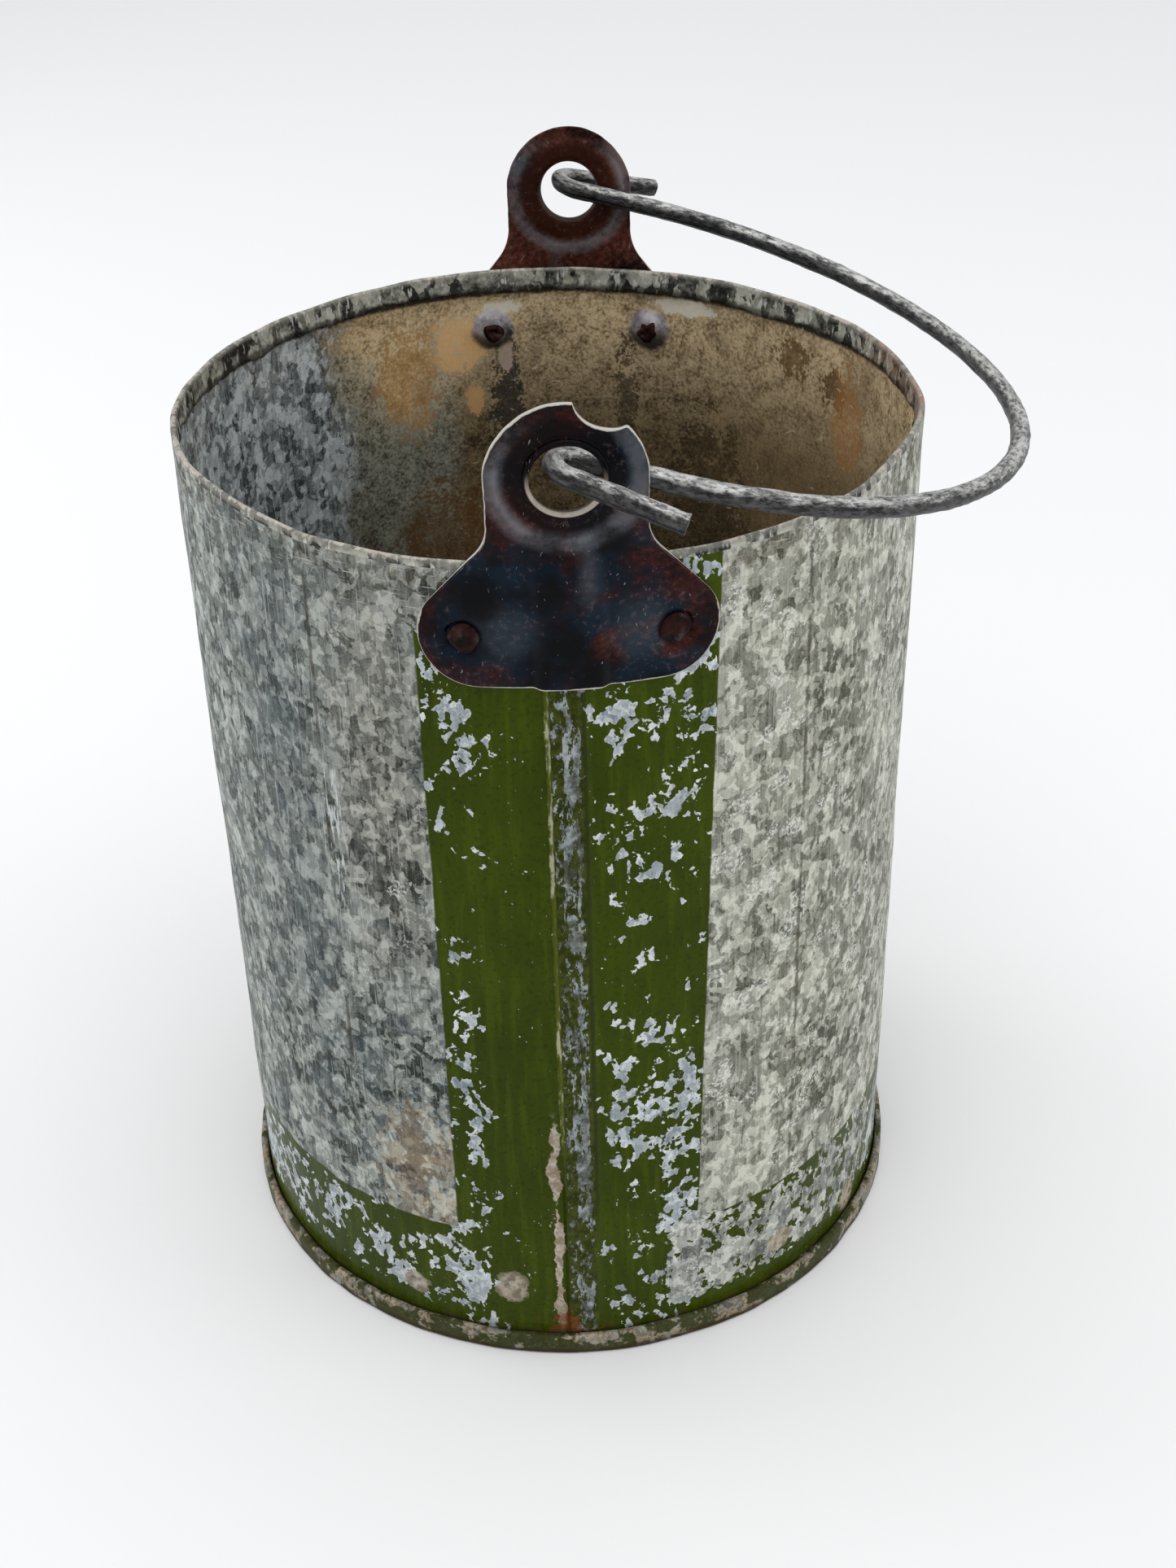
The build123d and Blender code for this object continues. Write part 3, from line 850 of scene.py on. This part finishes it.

    # the paint, and the bare metal where it is lost, with a painted shadow and a painted highlight along
    # the lock seam
    olive = look.mix(look.noise(22, 41), (42, 52, 0), (64, 77, 1))
    brushed = look.noise(2.2, 48, detail=3, stretch=(1, 1, 10)).fade(0.45, 0.72)
    olive = look.mix(brushed * 0.35, olive, (78, 92, 12))
    olive = look.mix(look.noise(1.2, 42, detail=3).fade(0.5, 0.75) * 0.5, olive, (34, 43, 0))
    chip_zinc = look.mix(crystal * 0.8 + fine * 0.4, (104, 116, 124), (216, 222, 226))
    chip_edge = loss.fade(bare_low, bare_high) * loss.fade(0.975, 0.945)
    chip_zinc = look.mix(chip_edge * 0.5, chip_zinc, (226, 230, 230))
    lost = painted * bare
    dull = (on_ridge * 0.75).most(corner.fade(0.02, 0.11) * 0.7)
    look.cover(lost * (0.9 - dull), chip_zinc)
    seam_metal = (fine * 0.5 + broken * 0.5).shade(0.42, 0.6, (62, 64, 54), (156, 164, 168))
    look.cover(on_ridge * lost * 0.85, seam_metal)
    olive = look.mix(on_ridge * 0.5, olive, fine.shade(0.4, 0.6, (30, 32, 8), (74, 74, 38)))
    look.cover(paint, olive)
    # painted shadow along the seam's right edge
    look.cover(seam_edge_shadow * 0.55, (30, 34, 10))
    # the painted highlight along the crease, olive to pale
    crease_highlight_colour = broken.shade(0.48, 0.58, (104, 110, 44), (204, 202, 170))
    look.cover(crease_highlight * height.fade(60, 90) * 0.85, crease_highlight_colour)

    # a bare pinkish strip and rust low on the seam, tan patches by the foot, and grime on it
    strip = abs(around + 2.4 + wander) + broken.swing(7) + fine.swing(3)
    strip = strip.fade(1.1, 0.8) * height.band(8, 86, 5)
    look.cover(strip * 0.85, fine.shade(0.35, 0.65, (150, 132, 112), (206, 196, 184)))
    rust = (fine + height.fade(30, 6) * 0.3 + around.band(-5, 3, 2) * 0.12).fade(0.8, 0.9)
    rust = rust * around.band(-8, 10, 4) * height.fade(60, 20)
    look.cover(rust * 0.8, (112, 62, 34))
    tan_patches = 0
    places = ((-16.2, 23.5), (4.6, 6)), ((-46, 17), (4, 4)), ((66, 20), (5, 4)), ((101, 12), (5, 5))
    for place, size in places:
        tan_patches = spot(around, height, place, size, fine.swing(3)) + tan_patches
    tan_shade = fine.shade(0.4, 0.6, (126, 116, 100), (184, 172, 154))
    look.cover(tan_patches * 0.85, tan_shade)
    grime = (fine + height.fade(12, 6.5) * 0.35).fade(0.72, 0.98)
    look.cover(grime * 0.55, (78, 72, 50))

    roughness = 0.5 + fine.swing(0.35) - paint * 0.22
    relief = paint * 0.07 + crystal * 0.03 + fine * 0.05 + flecks * 0.03 - scratches * 0.03 - kinks * 0.05
    metallic = (1 - paint) * 0.25
    return look.finish(roughness, relief, metallic, specular=0.07)


def inside_look():
    """The inside: tan, brown and black stain, and blue-grey zinc at the left."""
    look = Look("stained_inside")
    around, height = look.round_about(), look.z
    crystal = spangle(look, 50)
    zinc = look.mix((crystal - 0.4) * 1.2 + 0.46, (58, 67, 69), (216, 225, 229))
    blotches = look.noise(26, 61, detail=5, rough=0.62, stretch=(1, 1, 1.5))
    drips = look.noise(7, 67, detail=5, rough=0.6, stretch=(1, 1, 5))
    small = look.noise(5, 62, detail=5, rough=0.68)
    grain = look.noise(1.0, 63, detail=3, rough=0.65)
    dapple = small * 0.45 + grain * 0.55
    brown = dapple.shade(0.34, 0.66, (50, 43, 29), (136, 117, 86))
    grey = dapple.shade(0.36, 0.62, (66, 70, 62), (154, 154, 138))
    orange = dapple.shade(0.36, 0.6, (124, 90, 50), (226, 192, 138))
    dark = dapple.shade(0.36, 0.62, (32, 29, 21), (92, 78, 54))
    # greyer beside the clean zinc, tan along the top and dark towards the bottom
    beside_zinc = around.fade(-292, -262) * around.fade(0, -200)
    brown = look.mix(around.fade(0, 60) * around.fade(270, 225) * 0.35, brown, (168, 142, 104))
    stained = look.mix((beside_zinc + blotches.swing(1.2)).fade(0.35, 0.75), brown, grey)
    by_rivet = around.band(-277, -252, 9) * around.fade(0, -200) * 0.2
    at_top = height.fade(192, 246) * 0.4 + height.fade(228, 242) * 0.12 + by_rivet
    stained = look.mix((blotches * 0.9 + drips * 0.6 + at_top).fade(1.1, 1.34) * 0.9, stained, orange)
    tan = dapple.shade(0.34, 0.62, (112, 93, 62), (226, 202, 162))
    at_back = around.fade(90, 180) + around.fade(-215, -270)
    pale_top = height.fade(196, 240) * at_back * blotches.fade(0.22, 0.5)
    stained = look.mix(pale_top * 0.9, stained, tan)
    darkest = drips * 0.6 + blotches * 0.6 + small * 0.3 + height.fade(238, 90) * 0.6
    stained = look.mix(darkest.fade(0.92, 1.25) * 0.92, stained, dark)
    # the stain gives way to clean zinc on the left
    left = around.fade(-262, -208) * around.fade(-20, -70)
    clean = (left + blotches.swing(0.9) + small.swing(0.9)).fade(0.34, 0.66)
    look.colour = look.mix(clean * 0.92, stained, zinc)
    low_left = clean * (height + drips.swing(90)).fade(200, 110)
    look.cover(low_left * 0.45, (58, 62, 62))
    # runs and patches, most of them by the rivets, and painted highlights above them: place, size, shade
    # and strength
    for place, size, shade, amount in (
        ((-293, 205), (5, 26), (48, 48, 46), 0.8),
        ((285, 205), (4, 22), (54, 48, 38), 0.6),
        ((-279, 231), (8, 9), (236, 190, 132), 0.85),
        ((-283, 213), (3, 4.5), (214, 168, 112), 0.8),
        ((208, 231), (5, 5.5), (92, 66, 34), 0.8),
        ((226, 236), (7, 5), (104, 78, 44), 0.7),
        ((202, 222), (7, 15), (190, 132, 76), 0.5),
        ((-272, 166), (15, 20), (118, 82, 42), 0.5),
        ((-262, 222), (9, 16), (196, 150, 92), 0.5),
        ((258, 182), (12, 24), (58, 48, 32), 0.45),
        # painted highlights: light reflected off the hem's lower edge, above the rivets
        ((266, 243), (9, 2.4), (240, 234, 216), 0.85),
        ((-292, 241.5), (6, 2.2), (234, 228, 212), 0.85),
        ((-293, 226), (2.2, 4.5), (206, 184, 168), 0.7),
    ):
        patch = spot(around, height, place, size, small.swing(6) + grain.swing(4))
        look.cover(patch * amount, shade)
    # bare grey domes round the rivets' tails, each with a painted shadow on its lower half, and a painted
    # shadow in the gap under the hem
    domes = 0
    for rivet in rivet_directions:
        place = (between(rivet, 0) * body_radius, rivet_level)
        domes = spot(around, height, place, (6.4, 6.4), small.swing(0.8)) + domes
    # painted shadow on the lower half of each dome
    dome_lower_shadow = (height + small.swing(5)).fade(rivet_level + 4, rivet_level - 4)
    dome_shade = small.shade(0.35, 0.65, (112, 110, 120), (190, 188, 198))
    look.cover(domes * 0.85, look.mix(dome_lower_shadow, dome_shade, (38, 38, 46)))
    # painted shadow in the gap under the hem, on the wall just below its edge
    shadow_under_hem = (height + small.swing(3)).fade(rim_height - 8.9, rim_height - 7.7)
    look.cover(shadow_under_hem * 0.92, (20, 17, 13))
    flecks = look.noise(1.8, 64, detail=3, rough=0.7).fade(0.66, 0.72)
    hairlines = look.noise(0.45, 68, detail=1, stretch=(9, 9, 2), place=look.warped(14, 8, 69))
    hairlines = hairlines.fade(0.72, 0.78)
    flecks = flecks.most(hairlines)
    look.cover(flecks * 0.55, (206, 198, 178))
    roughness = 0.6 + small.swing(0.3)
    relief = small * 0.14 + grain * 0.08 + flecks * 0.05
    return look.finish(roughness, relief, clean * 0.3, specular=0.25)


def hem_look():
    """The folded rim: dark mottled zinc with a bright worn edge."""
    look = Look("rim_hem")
    around, height = look.round_about(), look.z
    mottle = look.noise(5, 71, detail=5, rough=0.65)
    small = look.noise(1.4, 72, rough=0.6)
    facets = look.cells(3.2, 74, stretch=(1, 1, 1.8), place=look.warped(3, 2, 75)) * 0.4
    shades = facets + mottle * 0.6 + small * 0.5 + look.noise(14, 76, detail=2).swing(0.5)
    look.colour = shades.shade(0.55, 1.05, (26, 26, 20), (182, 182, 168))
    marks = look.noise(1.8, 73, detail=3, rough=0.6, stretch=(1, 1, 3)).fade(0.58, 0.64)
    look.cover(marks * 0.7, (214, 216, 208))
    # painted shadow along the hem's lower edge
    lower_edge_shadow = (height + small.swing(1.6) + mottle.swing(3)).fade(rim_height - 4.6, rim_height - 6.0)
    look.cover(lower_edge_shadow * 0.75, (34, 31, 24))
    on_top = height.fade(rim_height - 2.0, rim_height - 0.8)
    look.cover(on_top * 0.6, look.mix(small, (96, 94, 84), (168, 166, 156)))
    worn = (height + mottle.swing(5) + small.swing(2)).fade(rim_height - 0.6, rim_height)
    rosy = mottle.shade(0.42, 0.62, (204, 203, 196), (196, 181, 169))
    look.cover(worn * 0.7, rosy)
    rust = around.band(135, 190, 12) * (small + mottle).fade(0.9, 1.15)
    look.cover(rust * 0.7, (128, 78, 46))
    roughness = 0.55 + small.swing(0.3)
    return look.finish(roughness, mottle * 0.12 + small * 0.08, 0.3)


def foot_look():
    """The foot's double seam, worn to tan and grey with green left in it, and the bottom disc."""
    look = Look("foot_seam")
    height = look.z
    mottle = look.noise(7, 81, detail=5, rough=0.62)
    small = look.noise(1.5, 82, rough=0.65)
    crystal = spangle(look, 83)
    zinc = look.mix(crystal, (78, 78, 70), (158, 156, 144))
    worn = small.shade(0.35, 0.65, (88, 76, 58), (170, 157, 136))
    look.colour = look.mix((mottle + small.swing(0.4)).fade(0.42, 0.54), zinc, worn)
    green = (look.noise(11, 84, detail=5, rough=0.68) + (height - 3) * -0.008).fade(0.48, 0.52)
    from_axis = look.distance(look.x, look.y)
    on_side = from_axis.fade(body_radius, body_radius + 1.2)
    look.cover(green * on_side * 0.92, look.mix(small, (34, 40, 5), (64, 71, 24)))
    rust = (mottle * 0.6 + small * 0.4 + height.fade(3.2, 0.4) * 0.24).fade(0.56, 0.7)
    look.cover(rust * 0.85, (56, 44, 28))
    # the disc: stained zinc, darkest in the corner round its edge
    bottom = (mottle * 0.5 + small * 0.5).shade(0.35, 0.65, (62, 54, 40), (134, 122, 100))
    bottom = look.mix(look.noise(30, 86, rough=0.6).fade(0.46, 0.6) * 0.7, bottom, zinc)
    corner = (from_axis + mottle.swing(14)).fade(82, 96)
    bottom = look.mix(corner * 0.7, bottom, (46, 36, 24))
    look.cover((1 - on_side) * 0.85, bottom)
    roughness = 0.55 + small.swing(0.3)
    return look.finish(roughness, mottle * 0.1 + small * 0.1, 0.1, specular=0.12)


# ---- dark steel ----


def ear_look(name, rusty):
    """Blackened steel with maroon rust, a painted sheen and a bright worn edge; `rusty`, 0 or 1, adds rust.
    """
    look = Look(name, place_from="plate")
    across, up = look.x, look.y
    edge = Field(look, look.node("Attribute", attribute_name="edge").outputs["Fac"])
    distance = look.distance(across, up)
    mottle = look.noise(11, 91 + rusty, rough=0.5)
    small = look.noise(1.6, 92, rough=0.65)
    blue = mottle.shade(0.35, 0.65, (12, 13, 17), (20, 34, 46))
    red_brown = (70 + 18 * rusty, 33 + 17 * rusty, 26 + 13 * rusty)
    maroon = look.mix((mottle * 0.5 + small * 0.5).fade(0.35, 0.65), (20, 9, 9), red_brown)
    rust = look.noise(18, 93, rough=0.5) + edge.fade(9, 0) * 0.1 + rusty * 0.17
    rust = rust + spot(across, up, (17, -43), (13, 6), small.swing(0.8)) * 0.15
    look.colour = look.mix((rust + small.swing(0.06)).fade(0.5, 0.72), blue, maroon)
    # painted sheen and highlights: round the dish, in an arc on its lower left, on the channel and beside
    # the rivets
    dish_sheen = distance.band(14.6, 18.6, 1.4) * (up + abs(across) * -1.2).fade(10, -8)
    channel_sheen = abs(across - 4.5).fade(3.5, 0) * up.band(-30, -18, 6)
    rivet_sheen, sheen_across, sheen_below = 0, 15.5, 39.5
    for side in (-1, 1):
        beside = look.distance(across - side * sheen_across, up + sheen_below)
        rivet_sheen = beside.fade(11, 2) + rivet_sheen
    arc_highlight = distance.band(15.4, 16.6, 0.7) * (up + across * 0.8).fade(4, -12)
    painted_sheen = dish_sheen * 0.6 + channel_sheen * 0.3 + rivet_sheen * 0.15 + arc_highlight * 0.36
    look.cover(painted_sheen * (mottle + small * 0.3).fade(0.35, 0.85) * 0.5, (146, 150, 156))
    # the dark dish, and the hole with its bright edge
    eye = distance.fade(15.0, 12.5)
    look.cover(eye * 0.8, (14 + 36 * rusty, 6 + 20 * rusty, 7 + 11 * rusty))
    bore = distance.fade(9.3, 8.9) * up.fade(3, -3)
    look.cover(bore * 0.7, (80, 70, 62))
    lip_shade = mottle.shade(0.4, 0.6, (132, 120, 106), (196, 186, 172))
    look.cover(bore * look.z.fade(1.1, 1.8) * 0.85, lip_shade)
    rubbed = (small + mottle.swing(0.5)).fade(0.56, 0.74)
    look.cover(rubbed * 0.28, (104, 92, 92))
    scratches = look.noise(0.6, 94, detail=1, stretch=(1, 12, 1), place=look.warped(20, 12, 95))
    scratches = scratches.fade(0.745, 0.77)
    look.cover(scratches * 0.5, (160, 156, 152))
    flecks = (small + mottle.swing(0.3)).fade(0.74, 0.77)
    look.cover(flecks * 0.35, (140, 128, 120))
    on_wings = up.fade(-10, -24) * 0.2
    worn = (edge - on_wings + mottle.swing(0.8) + small.swing(0.4)).fade(0.38, 0.14)
    worn = worn * look.z.fade(-0.35, 0.1)
    look.cover(worn * 0.85, (206, 200, 190))
    roughness = 0.4 + small.swing(0.3)
    return look.finish(roughness, mottle * 0.1 + small * 0.05 + flecks * 0.05, specular=0.08)


def rivet_look():
    """Dark brown steel with a dull sheen."""
    look = Look("rusty_rivet")
    mottle = look.noise(2.4, 101, rough=0.6)
    look.colour = mottle.shade(0.3, 0.7, (16, 8, 8), (50, 25, 21))
    sheen = look.noise(4, 102, detail=3).fade(0.5, 0.7)
    look.cover(sheen * 0.25, (112, 98, 98))
    return look.finish(0.42 + mottle.swing(0.3), mottle * 0.15, specular=0.08)


def wire_look():
    """Grey steel wire, pitted and streaked along its length."""
    look = Look("pitted_wire", place_from="wire_place")
    across, up = look.y * (1 / wire_radius), look.z * (1 / wire_radius)
    mottle = look.noise(4, 111, detail=5, rough=0.65, stretch=(2.2, 1, 1))
    small = look.noise(1.0, 112, rough=0.7, stretch=(2.5, 1, 1))
    # on top of the bow, rubbed bright with a painted highlight; underneath, black oxide with painted shade;
    # one drawing line along the wire
    top_rubbed_and_lit = (up + mottle.swing(1.3) + small.swing(0.6)).fade(0.3, 1.0)
    black = small.shade(0.35, 0.65, (20, 18, 19), (80, 78, 79))
    bright = (mottle * 0.4 + small * 0.6).shade(0.38, 0.6, (96, 95, 94), (204, 203, 200))
    look.colour = look.mix(top_rubbed_and_lit, black, bright)
    line = abs(up + 0.42 + mottle.swing(0.25)).fade(0.16, 0.06) * across.fade(-0.2, 0.2)
    line = line * (mottle + small * 0.4).fade(0.52, 0.62)
    look.cover(line * 0.9, (12, 11, 12))
    pits = look.noise(1.0, 113, detail=3, rough=0.6, stretch=(2.5, 1, 1)).fade(0.57, 0.64)
    look.cover(pits * 0.7, (32, 29, 30))
    roughness = 0.3 + mottle * 0.25
    relief = small * 0.1 - pits * 0.12 + mottle * 0.1 - line * 0.2
    return look.finish(roughness, relief, 0.45)


# ---- the pail ----

make_shell([outside_look(), inside_look(), hem_look()])
make_pan([foot_look()])
make_ear("front", True, ear_look("front_ear_steel", rusty=0.0))
make_ear("rear", False, ear_look("rear_ear_steel", rusty=1.0))
rivet_steel = rivet_look()
seed = 60
for end in ear_angles:
    for hand in ("left", "right"):
        make_rivet(end, hand, rivet_steel, seed)
        seed += 1
make_bail(wire_look())


# ---- floor, light and camera ----


def make_floor():
    reach = 6.0
    mesh = bpy.data.meshes.new("floor")
    corners = [(-reach, -reach, 0), (reach, -reach, 0), (reach, reach, 0), (-reach, reach, 0)]
    mesh.from_pydata(corners, [], [(0, 1, 2, 3)])
    paper = bpy.data.materials.new("pale_paper")
    paper.use_nodes = True
    shader = paper.node_tree.nodes["Principled BSDF"]
    shader.inputs["Base Color"].default_value = (0.9, 0.9, 0.902, 1)
    shader.inputs["Roughness"].default_value = 0.9
    mesh.materials.append(paper)
    floor = in_scene("floor", mesh)


def soft_light(name, place, aim, size, power):
    lamp = bpy.data.lights.new(name, "AREA")
    lamp.shape = "DISK"
    lamp.size = size
    lamp.energy = power
    made = in_scene(name, lamp)
    made.location = place
    made.rotation_euler = (Vector(aim) - Vector(place)).to_track_quat("-Z", "Y").to_euler()


def make_camera():
    """At the photograph's viewing angle, with its slight roll."""
    aim = Vector((8.2, 0, 130.6)) * MM
    distance, elevation, azimuth, roll = 0.6265, radians(33.14), radians(0.555), radians(-1.53)
    level_reach = cos(elevation)
    back = Vector((sin(azimuth) * level_reach, -cos(azimuth) * level_reach, sin(elevation)))
    lens = bpy.data.cameras.new("camera")
    lens.lens = 48.78
    lens.sensor_width = 36
    lens.clip_start, lens.clip_end = 0.01, 50
    camera = in_scene("camera", lens)
    level = (-back).to_track_quat("-Z", "Y").to_matrix().to_4x4()
    placed = Matrix.Translation(aim + back * distance)
    camera.matrix_world = placed @ level @ Matrix.Rotation(roll, 4, "Z")
    bpy.context.scene.camera = camera


make_floor()
centre = (0, 0, 0.13)
soft_light("overhead", (0.0, -0.5, 2.8), centre, 3.6, 39)
soft_light("right_side", (1.3, -0.3, 0.7), centre, 0.8, 2.2)
soft_light("left_back", (-1.3, 0.5, 0.6), centre, 0.8, 4.2)
world = bpy.data.worlds.new("studio")
world.use_nodes = True
sky = world.node_tree.nodes["Background"].inputs
sky["Color"].default_value = (0.97, 0.985, 1.0, 1)
sky["Strength"].default_value = 0.67
bpy.context.scene.world = world
bpy.context.scene.view_settings.view_transform = "Standard"
make_camera()
